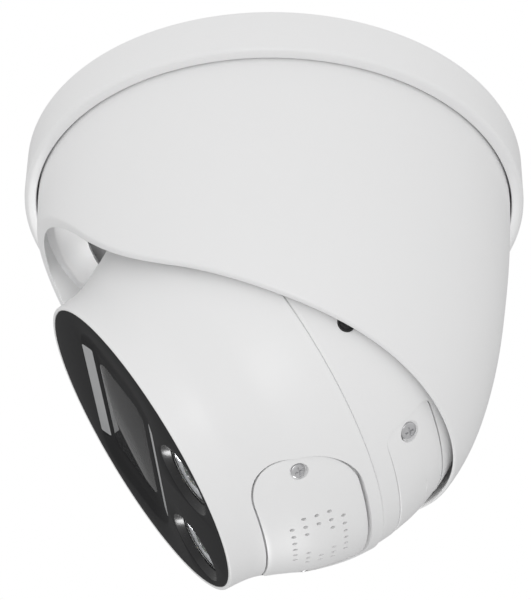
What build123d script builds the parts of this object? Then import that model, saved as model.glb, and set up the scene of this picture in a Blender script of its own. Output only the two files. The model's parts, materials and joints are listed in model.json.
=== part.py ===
from build123d import *
from math import cos, degrees, radians, sin, sqrt
import os

# Ceiling turret camera, millimetres. +Z is up and z = 0 is the ceiling face of the base.
# The eyeball looks towards -Y and down.

# driving dimensions
base_radius = 61.0
base_height = 11.5
plate_thickness = 3.0
skirt_bore = 58.3
cover_top_radius = 57.65
cover_wall = 1.8
cover_bottom = -85.6
pivot_drop = 56.5                 # height of the ball's centre below the ceiling
look_down = 34.97                 # angle of the optical axis below the horizon
front_ball = 47.4                 # spherical part of the front casing
rear_ball = 47.0                  # spherical rear casing
seam = 2.05                       # plane of the casing seam, ahead of the ball's centre
bezel_front = 36.65
bezel_radius = 37.3
panel_radius = 36.4
panel_front = 36.6
panel_back = 34.0
casing_wall = 2.4
back_face = -33.6                 # flat back of the ball
hub_radius = 11.95
cable_hole = 3.2

# pan bearing, counted from the ceiling
flange_top = -4.6
flange_bottom = -6.6
bearing_radius = 50.0
running_gap = 0.05
ledge_top = -13.2
ledge_bottom = -15.2
yoke_thickness = 1.0

# tilt pivots: cradle ears inside, yoke arms outside
ear_inner = 47.7
ear_outer = 48.4
arm_inner = 48.7
arm_outer = 49.5
pivot_radius = 2.2
arm_half = 5.0

# front panel layout, seen from the front
window_width = 56.6
window_height = 30.2
window_corner = 9.0
window_mid = 6.0
window_depth = 0.95
slope_run = 3.2
glass_width = 37.0
glass_height = 18.6
glass_corner = 4.0
glass_thickness = 1.1
bar_half = 18.5
bar_outer = 14.6                  # distances of a light bar's long edges from the window's middle
bar_inner = 12.1
lamp_x = 15.2
lamp_y = -21.0
lamp_mouth = 9.0
lamp_lens = 7.5

# speaker door on the underside
door_mid = 16.55
door_half_width = 11.45
door_half_length = 25.4
door_thickness = 1.8
hole_pitch = 2.93
hole_radius = 0.5
column_pitch = 2.75
hole_arc_radius = 45.0            # the rows of holes are spaced along an arc of this radius
door_screw_angle = 30.5           # angles are counted from the underside
door_screw_s = 17.0
door_screw_seat = 43.0

# access plate on the rear casing
plate_mid = -9.7
plate_half_width = 7.1
plate_half_length = 22.0
plate_bed = 45.2
plate_deck = 42.4                 # the plate's outer face is a sphere set below the ball's centre
plate_deck_drop = 4.95
plate_screw_angle = 24.0
plate_screw_s = -9.2
plate_screw_seat = 45.0

# side plug
plug_angle = 60.5
plug_s = -6.6
plug_radius = 2.05

# fixings: places on circles, angles in degrees
base_screw_circle = 39.0
base_screw_hole = 2.3
base_screw_angles = (90, 210, 330)
quarter_angles = (45, 135, 225, 315)
keeper_screw_circle = 47.6
yoke_screw_circle = 51.0
casing_screw_circle = 42.0
casing_screw_angles = (90, 210, 330)
post_circle = 30.0
post_angles = (30, 150, 270)

# cover mouth seen from the side, as (y, z) points: steep at the front, then a long slope
mouth_steep = 1.347
mouth_knee = (-32.1, -54.1)
mouth_bend = 13.2                 # length of the steep line taken up by the bend
mouth_slope = ((-19.0, -59.4), (5.0, -68.5), (28.0, -76.1), (44.0, -82.9))

# walls as (radius, height) points
cover_outside = ((56.88, -25), (55.12, -40), (53.19, -52), (50.81, -62), (47.39, -72), (41.75, -82))
cover_inside = ((55.1, -25), (53.3, -40), (51.4, -52), (49.05, -62), (45.7, -72), (40.7, -82))
cover_lip = 38.9
cover_lip_inside = 37.6
shoulder = ((44.25, 17), (42.75, 20), (40.7, 24), (38.75, 28), (37.75, 32))
door_outside = ((46.95, 2.0), (46.5, 6.0), (45.3, 12.0), (43.45, 18.0), (40.75, 24.0), (38.2, 30.0))

centre = Vector(0, 0, -pivot_drop)
ball_frame = Plane(
    origin=centre,
    x_dir=(1, 0, 0),
    z_dir=(0, -cos(radians(look_down)), -sin(radians(look_down))),
)
level = (Align.CENTER, Align.CENTER, Align.MIN)
corner = (Align.MIN, Align.MIN, Align.MIN)


def rod(radius, low, high, x=0.0, y=0.0):
    """Round bar along Z between two heights."""
    return Pos(x, y, low) * Cylinder(radius, high - low, align=level)


def ring(inner, outer, low, high, x=0.0, y=0.0):
    """Flat ring or tube along Z."""
    return rod(outer, low, high, x, y) - rod(inner, low - 1, high + 1, x, y)


def block(x0, x1, y0, y1, z0, z1):
    """Box between two corners."""
    return Pos(x0, y0, z0) * Box(x1 - x0, y1 - y0, z1 - z0, align=corner)


def slab(width, height, radius, low, high, x=0.0, y=0.0):
    """Rounded rectangle extruded along Z."""
    outline = Pos(x, y, low) * RectangleRounded(width, height, radius)
    return extrude(outline, high - low)


def spun(*edges):
    """Solid of revolution about Z from a closed outline in the XZ plane."""
    return revolve(make_face(list(edges)), Axis.Z)


def line(*points):
    """Straight outline through (radius, height) points."""
    return Polyline(*[(r, 0, z) for r, z in points])


def curve(*points):
    """Smooth outline through (radius, height) points."""
    return Spline(*[(r, 0, z) for r, z in points])


def below(half_length, half_width, mid, radius):
    """Prism with a rounded outline that points down from the ball's axis."""
    face = Plane.XZ * Pos(0, mid) * RectangleRounded(2 * half_length, 2 * half_width, radius)
    return extrude(face, 60)


def radial(angle, s):
    """Place on the ball's surface: local +Z points outwards, angle 0 is the underside."""
    out = (sin(radians(angle)), -cos(radians(angle)), 0)
    return Plane(origin=(0, 0, s), x_dir=(0, 0, 1), z_dir=out).location


def circle_spots(radius, angles):
    """Places on a circle about Z."""
    return [(radius * cos(radians(a)), radius * sin(radians(a))) for a in angles]


def screw(head_radius, head_height, shaft_radius, length, slot=0.9):
    """Screw along Z: the head's underside is at 0 and the shaft goes down."""
    body = rod(head_radius, 0, head_height) + rod(shaft_radius, -length, 0)
    body = chamfer(body.faces().sort_by(Axis.Z)[-1].edges(), head_height * 0.25)
    depth = head_height * 0.45
    cross = Pos(0, 0, head_height) * Box(head_radius * slot, 0.35, 2 * depth)
    return body - cross - Rot(0, 0, 90) * cross


def save(node, *solids, ball=False):
    """Write one node; ball nodes are modelled in the ball's own frame."""
    placed = [ball_frame.location * s if ball else s for s in solids]
    shape = placed[0] if len(placed) == 1 else Compound(children=placed)
    export_step(shape, f"parts/{node}.step")


# base, fixed to the ceiling

def make_base():
    boss_radius = bearing_radius - running_gap
    boss_inner = 45.2
    boss_bottom = flange_bottom - 0.1
    plate = rod(base_radius, -plate_thickness, 0)
    skirt = ring(skirt_bore, base_radius, -base_height, -plate_thickness)
    wall = ring(boss_inner, boss_radius, boss_bottom, -plate_thickness)
    body = plate + skirt + wall
    outer_low = body.edges().filter_by(GeomType.CIRCLE).filter_by(
        lambda e: abs(e.radius - base_radius) < 0.01 and e.center().Z < -1
    )
    body = fillet(outer_low, 1.1)
    outer_top = body.edges().filter_by(GeomType.CIRCLE).filter_by(
        lambda e: abs(e.radius - base_radius) < 0.01 and e.center().Z > -0.1
    )
    body = fillet(outer_top, 0.6)
    body -= rod(9.0, -5, 1) + rod(11.2, -1.0, 1)
    body -= ring(54.0, 57.0, -1.2, 1)
    for angle in base_screw_angles:
        body -= Rot(0, 0, angle) * rod(base_screw_hole, -5, 1, x=base_screw_circle)
    for angle in quarter_angles:
        body -= Rot(0, 0, angle) * rod(1.25, boss_bottom - 1, -plate_thickness - 0.2, x=keeper_screw_circle)
    save("mounting_base", body)

    save("base_gasket", ring(54.1, 56.9, -1.2, 0))
    grommet = rod(11.0, -1.0, 0) + rod(8.95, -3.0, -1.0) + rod(10.6, -4.2, -3.0)
    grommet = fillet(grommet.edges().sort_by(Axis.Z)[0], 0.6)
    save("cable_grommet", grommet - rod(cable_hole, -6, 1))

    save("pan_friction_ring", ring(bearing_radius + 0.3, 56.4, flange_top + 0.05, -plate_thickness))

    keeper_top = boss_bottom
    keeper = ring(boss_inner + 0.3, 53.4, keeper_top - 1.5, keeper_top)
    screws = []
    for angle in quarter_angles:
        keeper -= Rot(0, 0, angle) * rod(1.4, -20, 0, x=keeper_screw_circle)
        turned = Pos(keeper_screw_circle, 0, keeper_top - 1.5) * Rot(180, 0, 0) * screw(2.2, 1.4, 1.2, 4.6)
        screws.append(Rot(0, 0, angle) * turned)
    save("pan_retaining_ring", keeper)
    save("retaining_screws", *screws)


# dome cover and yoke, pan

def cover_cut():
    """Side-view opening of the cover: a steep front face, then a long slope to the back."""
    knee_y, knee_z = mouth_knee
    along = sqrt(1 + mouth_steep * mouth_steep)
    top = (-72.0, knee_z + mouth_steep * (72.0 + knee_y))
    bend_start = (knee_y - mouth_bend / along, knee_z + mouth_bend * mouth_steep / along)
    slope_start = mouth_slope[0]
    slope_end = mouth_slope[-1]

    def at(p):
        return (0, p[0], p[1])

    front = Line(at(top), at(bend_start))
    bend = Spline(at(bend_start), at(slope_start), tangents=[at((1, -mouth_steep)), at((1, -0.40))])
    slope = Spline(*[at(p) for p in mouth_slope], tangents=[at((1, -0.40)), at((1, -0.45))])
    under = Polyline(at(slope_end), at((60, -100)), at((-72, -100)), at(top))
    return extrude(make_face([front, bend, slope, under]), 70, both=True)


def make_cover():
    bore = cover_top_radius - cover_wall
    outer = curve((cover_top_radius, -base_height), *cover_outside, (cover_lip, cover_bottom))
    closing = line(
        (cover_lip, cover_bottom), (0, cover_bottom), (0, flange_top),
        (cover_top_radius, flange_top), (cover_top_radius, -base_height),
    )
    body = spun(outer, closing)
    inner = curve((bore, ledge_bottom), *cover_inside, (cover_lip_inside, cover_bottom))
    inner_closing = line(
        (cover_lip_inside, cover_bottom), (cover_lip_inside, cover_bottom - 2), (0, cover_bottom - 2),
        (0, ledge_bottom), (bore, ledge_bottom),
    )
    hollow = spun(inner, inner_closing)
    body -= hollow
    body -= rod(bearing_radius, flange_bottom - 0.1, 0)
    body -= rod(bore, ledge_top, flange_bottom)
    body -= rod(48.6, ledge_bottom - 1, ledge_top + 1)
    body -= cover_cut()
    pocket = Pos(centre) * Sphere(arm_outer + 0.35)
    body -= pocket & block(-70, 70, -arm_half - 1.5, arm_half + 1.5, -62.5, -40)
    for angle in quarter_angles:
        body -= Rot(0, 0, angle) * rod(1.0, ledge_bottom - 1, ledge_top - 0.3, x=yoke_screw_circle)
    save("dome_cover", body)

    ring_top = ledge_bottom
    yoke = ring(46.0, 53.6, ring_top - yoke_thickness, ring_top)
    shell = Pos(centre) * (Sphere(arm_outer) - Sphere(arm_inner))
    eye = Pos(centre) * Rot(0, 90, 0) * Cylinder(arm_half, 120)
    arms = block(-70, 70, -arm_half, arm_half, -pivot_drop, ring_top)
    arms &= block(-arm_outer, -arm_inner, -20, 20, -99, 0) + block(arm_inner, arm_outer, -20, 20, -99, 0)
    hook = (shell & eye) & block(-70, 70, -20, 20, -99, -pivot_drop)
    yoke = yoke + arms + hook
    pin = Pos(centre) * Rot(0, 90, 0) * Cylinder(pivot_radius, 120)
    yoke -= Pos(centre) * Rot(0, 90, 0) * Cylinder(pivot_radius + 0.02, 120)
    screws = []
    for angle in quarter_angles:
        yoke -= Rot(0, 0, angle) * rod(1.15, -30, 0, x=yoke_screw_circle)
        place = Pos(yoke_screw_circle, 0, ring_top - yoke_thickness) * Rot(180, 0, 0)
        turned = place * screw(1.9, 1.2, 0.98, 2.6)
        screws.append(Rot(0, 0, angle) * turned)
    save("yoke", yoke)
    save("yoke_screws", *screws)

    pins = (pin & (Pos(centre) * (Sphere(arm_outer) - Sphere(ear_inner + 0.1)))).solids()
    save("pivot_pins", *pins)


# cradle, tilt

def make_cradle():
    plate_near = back_face - 0.9
    plate_far = plate_near - 1.0
    shell = Sphere(ear_outer) - Sphere(ear_inner)
    strap = shell & block(-60, 60, -4.5, 4.5, plate_far, 0)
    ear = shell & (Rot(0, 90, 0) * Cylinder(4.5, 120))
    reach = sqrt(ear_outer * ear_outer - plate_far * plate_far) - 0.2
    back = (rod(17.5, plate_far, plate_near) + block(-reach, reach, -4.5, 4.5, plate_far, plate_near))
    cradle = strap + ear + back
    cradle -= rod(hub_radius + running_gap, -60, 0)
    cradle -= Rot(0, 90, 0) * Cylinder(pivot_radius + running_gap, 120)
    save("tilt_cradle", cradle, ball=True)
    save("rotation_washer", ring(hub_radius + 0.3, 17.0, plate_near, back_face - 0.1), ball=True)
    save("wave_washer", ring(hub_radius + 0.3, 15.0, plate_far - 0.5, plate_far), ball=True)
    return plate_far - 0.6


# ball casings

def front_outline(cut=0.0):
    """Outside of the front casing, from the seam to the bezel, made smaller by cut."""
    points = [(sqrt(front_ball ** 2 - s * s), s) for s in (seam, 10)]
    points += [*shoulder, (bezel_radius, bezel_front)]
    return curve(*[(r - cut, s) for r, s in points])


def door_skin(cut):
    """Solid inside the door's outer face, made smaller by cut. The door is flatter than the ball."""
    edge = [(r - cut, s) for r, s in door_outside]
    return spun(curve(*edge), line(edge[-1], (0, edge[-1][1]), (0, edge[0][1]), edge[0]))


def make_front_casing(screw_spots):
    seam_radius = sqrt(front_ball * front_ball - seam * seam)
    body = spun(
        front_outline(),
        line((bezel_radius, bezel_front), (0, bezel_front), (0, seam), (seam_radius, seam)),
    )
    ledge_front = panel_back - 0.4
    ledge_back = ledge_front - 2.0
    hollow = spun(
        front_outline(casing_wall),
        line((bezel_radius - casing_wall, bezel_front), (0, bezel_front), (0, seam),
             (seam_radius - casing_wall, seam)),
    )
    body -= hollow & rod(60, seam, ledge_back)
    body -= rod(33.6, ledge_back - 1, ledge_front + 1)
    body -= rod(panel_radius + 0.05, ledge_front, 50)
    rim = body.edges().filter_by(GeomType.CIRCLE).sort_by(Axis.Z)[-2:]
    body = fillet(rim, 0.3)
    bosses = []
    for x, y in screw_spots:
        bosses.append(rod(3.2, seam, 12, x, y) & (body + hollow))
    body = body + bosses

    well = below(door_half_length + 2.2, door_half_width + 1.6, door_mid, 11.4)
    floor = well & (door_skin(door_thickness + 0.05) - door_skin(door_thickness + 1.6))
    body = body + (floor & (body + hollow))
    opening = below(door_half_length, door_half_width, door_mid, 10.4)
    body -= opening - door_skin(door_thickness + 0.05)
    body -= below(door_half_length - 7.6, door_half_width - 3.0, door_mid, 7.5)
    groove = below(door_half_length - 5.6, door_half_width - 1.4, door_mid, 9.0)
    groove -= below(door_half_length - 6.8, door_half_width - 2.4, door_mid, 8.1)
    gasket = groove & (door_skin(door_thickness) - door_skin(door_thickness + 0.8))
    body -= gasket
    for angle in (-door_screw_angle, door_screw_angle):
        body -= radial(angle, door_screw_s) * rod(0.95, 30, 60)
    for x, y in screw_spots:
        body -= rod(1.3, seam - 1, 10.5, x, y)
    body -= ring(45.2, 46.0, seam - 1, seam + 0.35)
    save("front_casing", body, ball=True)
    save("door_gasket", gasket, ball=True)


def make_rear_casing(screw_spots, post_spots):
    ball = Sphere(rear_ball) & rod(60, back_face, seam - 0.12)
    hollow = Sphere(rear_ball - casing_wall) & rod(60, back_face + casing_wall, seam + 1)
    body = ball - hollow
    body = chamfer(body.edges().filter_by(GeomType.CIRCLE).sort_by(Axis.Z)[-1], 0.2)
    for x, y in screw_spots:
        body += rod(3.4, -30, seam - 0.12, x, y) & ball
    for x, y in post_spots:
        body += rod(3.0, back_face + 1, -0.02, x, y)
    for angle in (-plate_screw_angle, plate_screw_angle):
        body += radial(angle, plate_screw_s) * rod(2.6, 39.5, plate_bed - 0.05)
    body += rod(hub_radius, back_face - 4.6, back_face + 1)

    bed = below(plate_half_length, plate_half_width, plate_mid, 3.0)
    body -= bed - Sphere(plate_bed - 0.05)
    for angle in (-plate_screw_angle, plate_screw_angle):
        body -= radial(angle, plate_screw_s) * rod(0.95, 40.5, 60)
    for x, y in screw_spots:
        body -= rod(2.7, -60, -14, x, y) + rod(1.55, -20, 10, x, y)
    for x, y in post_spots:
        body -= rod(1.25, -8, 1, x, y)
    body -= rod(6.3, -60, 0)
    body -= ring(45.2, 46.0, seam - 0.5, seam + 1)
    body -= radial(plug_angle, plug_s) * rod(plug_radius + 0.05, 44.9, 60)
    save("rear_casing", body, ball=True)
    save("casing_seal", ring(45.25, 45.95, seam - 0.5, seam + 0.35), ball=True)

    deck = Pos(0, -plate_deck_drop, 0) * Sphere(plate_deck)
    plate = below(plate_half_length - 0.15, plate_half_width - 0.15, plate_mid, 2.85)
    plate = (plate & deck) - Sphere(plate_bed)
    screws = []
    for angle in (-plate_screw_angle, plate_screw_angle):
        spot = radial(angle, plate_screw_s)
        plate -= spot * (rod(2.5, plate_screw_seat, 60) + rod(1.15, 40, 60))
        screws.append(spot * Pos(0, 0, plate_screw_seat) * screw(2.0, 0.8, 0.93, 4.3))
    save("access_plate", plate, ball=True)
    save("access_plate_screws", *screws, ball=True)

    head = fillet(rod(plug_radius, 45.0, rear_ball - 0.03).edges().sort_by(Axis.Z)[-1], 0.3)
    save("side_plug", radial(plug_angle, plug_s) * head, ball=True)

    screws = []
    for x, y in screw_spots:
        screws.append(Pos(x, y, -14) * Rot(180, 0, 0) * screw(2.5, 1.6, 1.25, 23.5))
    save("casing_screws", *screws, ball=True)


def make_hub(nut_top):
    nut = ring(hub_radius + 0.01, 15.6, nut_top - 1.8, nut_top)
    for angle in range(0, 360, 60):
        nut -= Rot(0, 0, angle) * block(14.6, 17, -1.3, 1.3, -60, 0)
    save("hub_nut", nut, ball=True)
    gland = rod(6.25, -41.5, -31.2) + rod(8.0, -31.2, -29.4)
    gland += spun(line((6.25, -41.5), (4.4, -44.5), (0, -44.5), (0, -41.5), (6.25, -41.5)))
    gland -= rod(cable_hole, -60, 0)
    save("cable_gland", gland, ball=True)


# front panel

def slope_cut():
    """Dished window recess: sloping walls down to a flat floor."""
    top = Pos(0, window_mid, panel_front) * RectangleRounded(window_width, window_height, window_corner)
    floor = Pos(0, window_mid, panel_front - window_depth) * RectangleRounded(
        window_width - 2 * slope_run, window_height - 2 * slope_run, window_corner - slope_run
    )
    return loft([top.face(), floor.face()])


def bar_slots(gap):
    """Two light guides along the upper and lower slopes."""
    solids = []
    for side in (1, -1):
        y0, y1 = sorted((window_mid + side * bar_outer, window_mid + side * bar_inner))
        solids.append(block(-bar_half - gap, bar_half + gap, y0 - gap, y1 + gap, panel_back - 0.8, 40))
    return solids


def make_panel():
    recess = slope_cut()
    body = rod(panel_radius, panel_back, panel_front)
    body = fillet(body.edges().sort_by(Axis.Z)[-1], 0.25)
    body += slab(42, 25.0, 5, panel_back - 1.0, panel_back, 0, window_mid)
    body -= recess
    floor = panel_front - window_depth
    seat = floor - glass_thickness
    body -= slab(glass_width + 0.06, glass_height + 0.06, glass_corner + 0.03, seat, floor + 1, 0, window_mid)
    body -= slab(32.0, 15.0, 3, 20, 40, 0, window_mid)
    for slot in bar_slots(0.03):
        body -= slot
    for x in (-lamp_x, lamp_x):
        mouth = line(
            (0, panel_front + 0.01), (lamp_mouth, panel_front + 0.01), (lamp_lens + 0.1, panel_back + 0.9),
            (lamp_lens + 0.1, panel_back - 1), (0, panel_back - 1), (0, panel_front + 0.01),
        )
        body -= Pos(x, lamp_y, 0) * spun(mouth)
    save("front_panel", body, ball=True)
    save("panel_gasket", ring(33.8, 36.3, panel_back - 0.4, panel_back), ball=True)
    glass = slab(glass_width, glass_height, glass_corner, seat, floor, 0, window_mid)
    save("window_glass", glass, ball=True)

    skin = rod(60, -10, panel_front) - recess
    bars = [slot & skin for slot in bar_slots(0.0)]
    save("light_bar_top", bars[0], ball=True)
    save("light_bar_bottom", bars[1], ball=True)
    boards = []
    chips = []
    for side in (1, -1):
        mid = window_mid + side * (bar_outer + bar_inner) / 2
        low = panel_back - 3.0
        boards.append(block(-bar_half, bar_half, mid - 1.7, mid + 1.7, low, low + 1.0))
        for k in range(6):
            x = (k - 2.5) * 6
            chips.append(block(x - 1.4, x + 1.4, mid - 0.9, mid + 0.9, low + 1.0, low + 1.7))
    save("light_strip_boards", *boards, ball=True)
    save("light_strip_leds", *chips, ball=True)


def make_lamps():
    lenses = []
    cups = []
    dies = []
    board_front = 31.0
    lens_front = panel_front - 2.0
    for x in (-lamp_x, lamp_x):
        place = Pos(x, lamp_y, 0)
        dome = spun(
            curve((0, lens_front + 0.5), (3.6, lens_front + 0.36), (6.6, lens_front - 0.05)),
            line((6.6, lens_front - 0.05), (lamp_lens, lens_front - 0.35), (lamp_lens, lens_front - 1.2),
                 (3.4, board_front + 1.15), (0, board_front + 1.15), (0, lens_front + 0.5)),
        )
        lenses.append(place * dome)
        cup = spun(line(
            (3.9, board_front), (7.4, board_front), (7.4, lens_front - 1.75), (6.9, lens_front - 1.75),
            (3.9, board_front + 0.6), (3.9, board_front),
        ))
        cups.append(place * cup)
        dies.append(place * block(-1.75, 1.75, -1.75, 1.75, board_front, board_front + 0.8))
    save("illuminator_lenses", *lenses, ball=True)
    save("illuminator_cups", *cups, ball=True)
    save("illuminator_leds", *dies, ball=True)
    board = rod(32.5, board_front - 1.2, board_front) & block(-40, 40, -40, -10.2, 0, 40)
    save("illuminator_board", board, ball=True)


# lens and electronics

def make_optics():
    y = window_mid
    barrel = rod(7.2, 17.5, 31.6, 0, y) + rod(8.2, 26.5, 31.6, 0, y)
    barrel -= rod(5.2, 10, 40, 0, y) + rod(6.9, 30.4, 40, 0, y)
    barrel = chamfer(barrel.faces().sort_by(Axis.Z)[-1].edges(), 0.25)
    save("lens_barrel", barrel, ball=True)
    front = rod(6.85, 30.4, 31.0)
    dome = Pos(0, 0, 17.0) * Sphere(15.6)
    front = front + (dome & rod(6.4, 31.0, 40))
    save("lens_front_glass", Pos(0, y, 0) * front, ball=True)
    save("lens_inner_glasses", *[rod(5.15, z, z + 1.8, 0, y) for z in (19.0, 22.0, 26.0)], ball=True)
    holder = block(-10, 10, y - 10, y + 10, 10.0, 18.5) - block(-8, 8, y - 8, y + 8, 9, 16.5)
    holder -= rod(7.25, 9, 30, 0, y)
    save("lens_holder", holder, ball=True)
    save("ir_cut_filter", block(-5, 5, y - 5, y + 5, 12.2, 12.8)
         + ring(4.0, 7.9, 12.8, 13.6, 0, y), ball=True)
    save("image_sensor", block(-5.5, 5.5, y - 4.5, y + 4.5, 10.0, 11.4), ball=True)
    board = block(-19, 19, y - 19, y + 19, 8.4, 10.0)
    spots = [(sx * 15.5, y + sy * 15.5) for sx in (-1, 1) for sy in (-1, 1)]
    plate = rod(36.0, 0, 1.6)
    posts = []
    fasteners = []
    for x, yy in spots:
        board -= rod(1.15, 0, 20, x, yy)
        plate -= rod(1.15, -3, 5, x, yy)
        posts.append(ring(1.1, 2.2, 1.6, 8.4, x, yy))
        fasteners.append(Pos(x, yy, 10.0) * screw(1.9, 1.2, 1.08, 7.5))
    save("sensor_board", board, ball=True)
    save("board_standoffs", *posts, ball=True)
    return plate, fasteners


def make_electronics(plate, fasteners, post_spots):
    for x, y in post_spots:
        plate -= rod(1.4, -3, 5, x, y)
        fasteners.append(Pos(x, y, 1.6) * screw(2.3, 1.4, 1.2, 7.0))
    save("main_board", plate, ball=True)
    save("board_screws", *fasteners, ball=True)
    chips = [
        block(-7, 7, -7, 7, -1.4, 0),
        block(12, 21, -4, 6, -1.2, 0),
        block(-20, -12, -5, 4, -1.2, 0),
        block(-6, 8, -24, -14, 1.6, 4.6),
        block(12, 20, -26, -16, 1.6, 5.2),
        block(-24, -14, -24, -16, 1.6, 7.2),
    ]
    save("board_chips", *chips, ball=True)
    save("thermal_pad", block(-8, 8, -8, 8, -1.9, -1.4), ball=True)
    sink = block(-17, 17, -17, 17, -4.4, -1.9)
    for k in range(7):
        x = (k - 3) * 5.2
        sink += block(x - 0.8, x + 0.8, -17, 17, -12.0, -4.4)
    save("heat_sink", sink, ball=True)


# speaker door and what is behind it

def make_door():
    outline = below(door_half_length - 0.3, door_half_width - 0.45, door_mid + 0.2, 10.0)
    door = outline & (door_skin(0) - door_skin(door_thickness))
    for column in range(5):
        s = door_mid + (2 - column) * column_pitch
        reach = abs(2 - column)
        first, last = {2: (0, 2), 1: (1, 3), 0: (2, 3)}[reach]
        for k in range(first, last + 1):
            angle = degrees((k + 0.5) * hole_pitch / hole_arc_radius)
            for side in (-1, 1):
                door -= radial(side * angle, s) * rod(hole_radius, 30, 60)
    screws = []
    for angle in (-door_screw_angle, door_screw_angle):
        spot = radial(angle, door_screw_s)
        door -= spot * (rod(2.0, door_screw_seat, 60) + rod(1.15, 30, 60))
        screws.append(spot * Pos(0, 0, door_screw_seat) * screw(1.7, 0.7, 0.93, 3.2))
    save("speaker_door", door, ball=True)
    save("door_screws", *screws, ball=True)

    lean = Pos(0, -40.3, door_mid) * Rot(90, 0, 0) * Rot(-19, 0, 0)
    speaker = rod(8.6, -2.8, 0) + rod(5.6, -4.4, -2.8)
    speaker -= spun(line((7.2, 0.1), (3.0, -1.2), (0, -0.8), (0, 0.1), (7.2, 0.1)))
    save("speaker", lean * speaker, ball=True)

    board_y = -31.0
    face = board_y - 1.2
    save("door_board", block(-17.5, 17.5, face, board_y, 8.5, 22.5), ball=True)
    socket = block(6.2, 17, face - 1.8, face, 8.5, 20.0)
    socket -= block(7.1, 16.1, face - 1.4, face - 0.5, 9.5, 22)
    save("card_socket", socket, ball=True)
    save("memory_card", block(7.2, 16.0, face - 1.35, face - 0.55, 9.7, 20.6), ball=True)
    save("microphone", block(-17, -14, face - 1.1, face, 18.8, 22), ball=True)
    housing = block(-15.5, -10.5, face - 1.6, face, 11.5, 16.5)
    button = Pos(-13, 0, 14) * Rot(90, 0, 0)
    save("button_housing", housing - button * rod(1.6, -face + 0.5, -face + 3), ball=True)
    plunger = rod(1.5, -face + 1.0, -face + 2.5)
    plunger = chamfer(plunger.edges().sort_by(Axis.Z)[-1], 0.2)
    save("reset_button", button * plunger, ball=True)


def main():
    os.makedirs("parts", exist_ok=True)
    screw_spots = circle_spots(casing_screw_circle, casing_screw_angles)
    post_spots = circle_spots(post_circle, post_angles)
    make_base()
    make_cover()
    nut_top = make_cradle()
    make_front_casing(screw_spots)
    make_rear_casing(screw_spots, post_spots)
    make_hub(nut_top)
    make_panel()
    make_lamps()
    board, fasteners = make_optics()
    make_electronics(board, fasteners, post_spots)
    make_door()


main()
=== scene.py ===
import json
import math

import bpy
import numpy as np
from mathutils import Matrix, Quaternion, Vector


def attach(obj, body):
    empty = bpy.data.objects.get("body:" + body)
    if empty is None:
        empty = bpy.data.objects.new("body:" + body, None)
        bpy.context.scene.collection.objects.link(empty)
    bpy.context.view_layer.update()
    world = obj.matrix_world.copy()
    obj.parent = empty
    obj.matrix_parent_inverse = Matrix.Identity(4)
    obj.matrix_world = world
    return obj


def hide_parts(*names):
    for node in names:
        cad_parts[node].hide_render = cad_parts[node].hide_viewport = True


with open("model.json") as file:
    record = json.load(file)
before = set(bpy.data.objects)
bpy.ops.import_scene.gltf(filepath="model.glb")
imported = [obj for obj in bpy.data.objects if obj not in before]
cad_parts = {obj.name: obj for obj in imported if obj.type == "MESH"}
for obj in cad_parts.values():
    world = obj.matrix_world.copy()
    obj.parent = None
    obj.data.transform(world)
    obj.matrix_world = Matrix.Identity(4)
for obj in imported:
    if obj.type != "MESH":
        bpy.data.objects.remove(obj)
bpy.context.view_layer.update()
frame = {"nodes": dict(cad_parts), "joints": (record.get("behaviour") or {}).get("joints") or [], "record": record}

mm = 0.001
record = frame["record"]
joints = {joint["name"]: joint for joint in frame["joints"]}

# the ball's own directions: right, up and along the lens
ballMiddle = Vector(joints["tilt_turn"]["pos_m"])
lookAxis = Vector(joints["ball_rotate"]["axis"]).normalized()
rightAxis = Vector((1, 0, 0))
upAxis = lookAxis.cross(rightAxis)
ballPlace = Matrix((rightAxis, upAxis, lookAxis)).transposed().to_4x4()
ballPlace.translation = ballMiddle


def putDown():
    if bpy.context.mode != "OBJECT":
        bpy.ops.object.mode_set(mode="OBJECT")
    bpy.ops.object.select_all(action="DESELECT")


def pickUp(piece):
    putDown()
    piece.select_set(True)
    bpy.context.view_layer.objects.active = piece
    return piece


def nameIt(name):
    piece = bpy.context.active_object
    piece.name = name
    piece.data.name = name
    bpy.ops.object.transform_apply(location=True, rotation=True, scale=True)
    return piece


def editAll():
    bpy.ops.object.mode_set(mode="EDIT")
    bpy.ops.mesh.select_all(action="SELECT")


def closeUp(piece):
    pickUp(piece)
    editAll()
    bpy.ops.mesh.remove_doubles(threshold=0.004 * mm)
    bpy.ops.mesh.normals_make_consistent(inside=False)
    bpy.ops.object.mode_set(mode="OBJECT")
    return piece


def smoothOff(piece, angle=32):
    pickUp(piece)
    bpy.ops.object.shade_smooth_by_angle(angle=math.radians(angle))
    return piece


def applyModifier(piece, kind, **settings):
    pickUp(piece)
    bpy.ops.object.modifier_add(type=kind)
    modifier = piece.modifiers[-1]
    for key, value in settings.items():
        setattr(modifier, key, value)
    bpy.ops.object.modifier_apply(modifier=modifier.name)
    return piece


def carve(piece, tool, operation="DIFFERENCE"):
    applyModifier(piece, "BOOLEAN", object=tool, operation=operation, solver="EXACT")
    bpy.data.objects.remove(tool)
    return piece


def easeEdges(piece, width, steps=2, angle=50):
    return applyModifier(
        piece, "BEVEL", width=width * mm, segments=steps, limit_method="ANGLE", angle_limit=math.radians(angle)
    )


def joinAll(name, pieces):
    putDown()
    for piece in pieces:
        piece.select_set(True)
    bpy.context.view_layer.objects.active = pieces[0]
    if len(pieces) > 1:
        bpy.ops.object.join()
    joined = bpy.context.active_object
    joined.name = name
    joined.data.name = name
    return joined


def spread(name, piece, places):
    copies = []
    for place in places:
        copy = piece.copy()
        copy.data = piece.data.copy()
        bpy.context.scene.collection.objects.link(copy)
        copy.data.transform(place)
        copies.append(copy)
    bpy.data.objects.remove(piece)
    return joinAll(name, copies)


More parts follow.
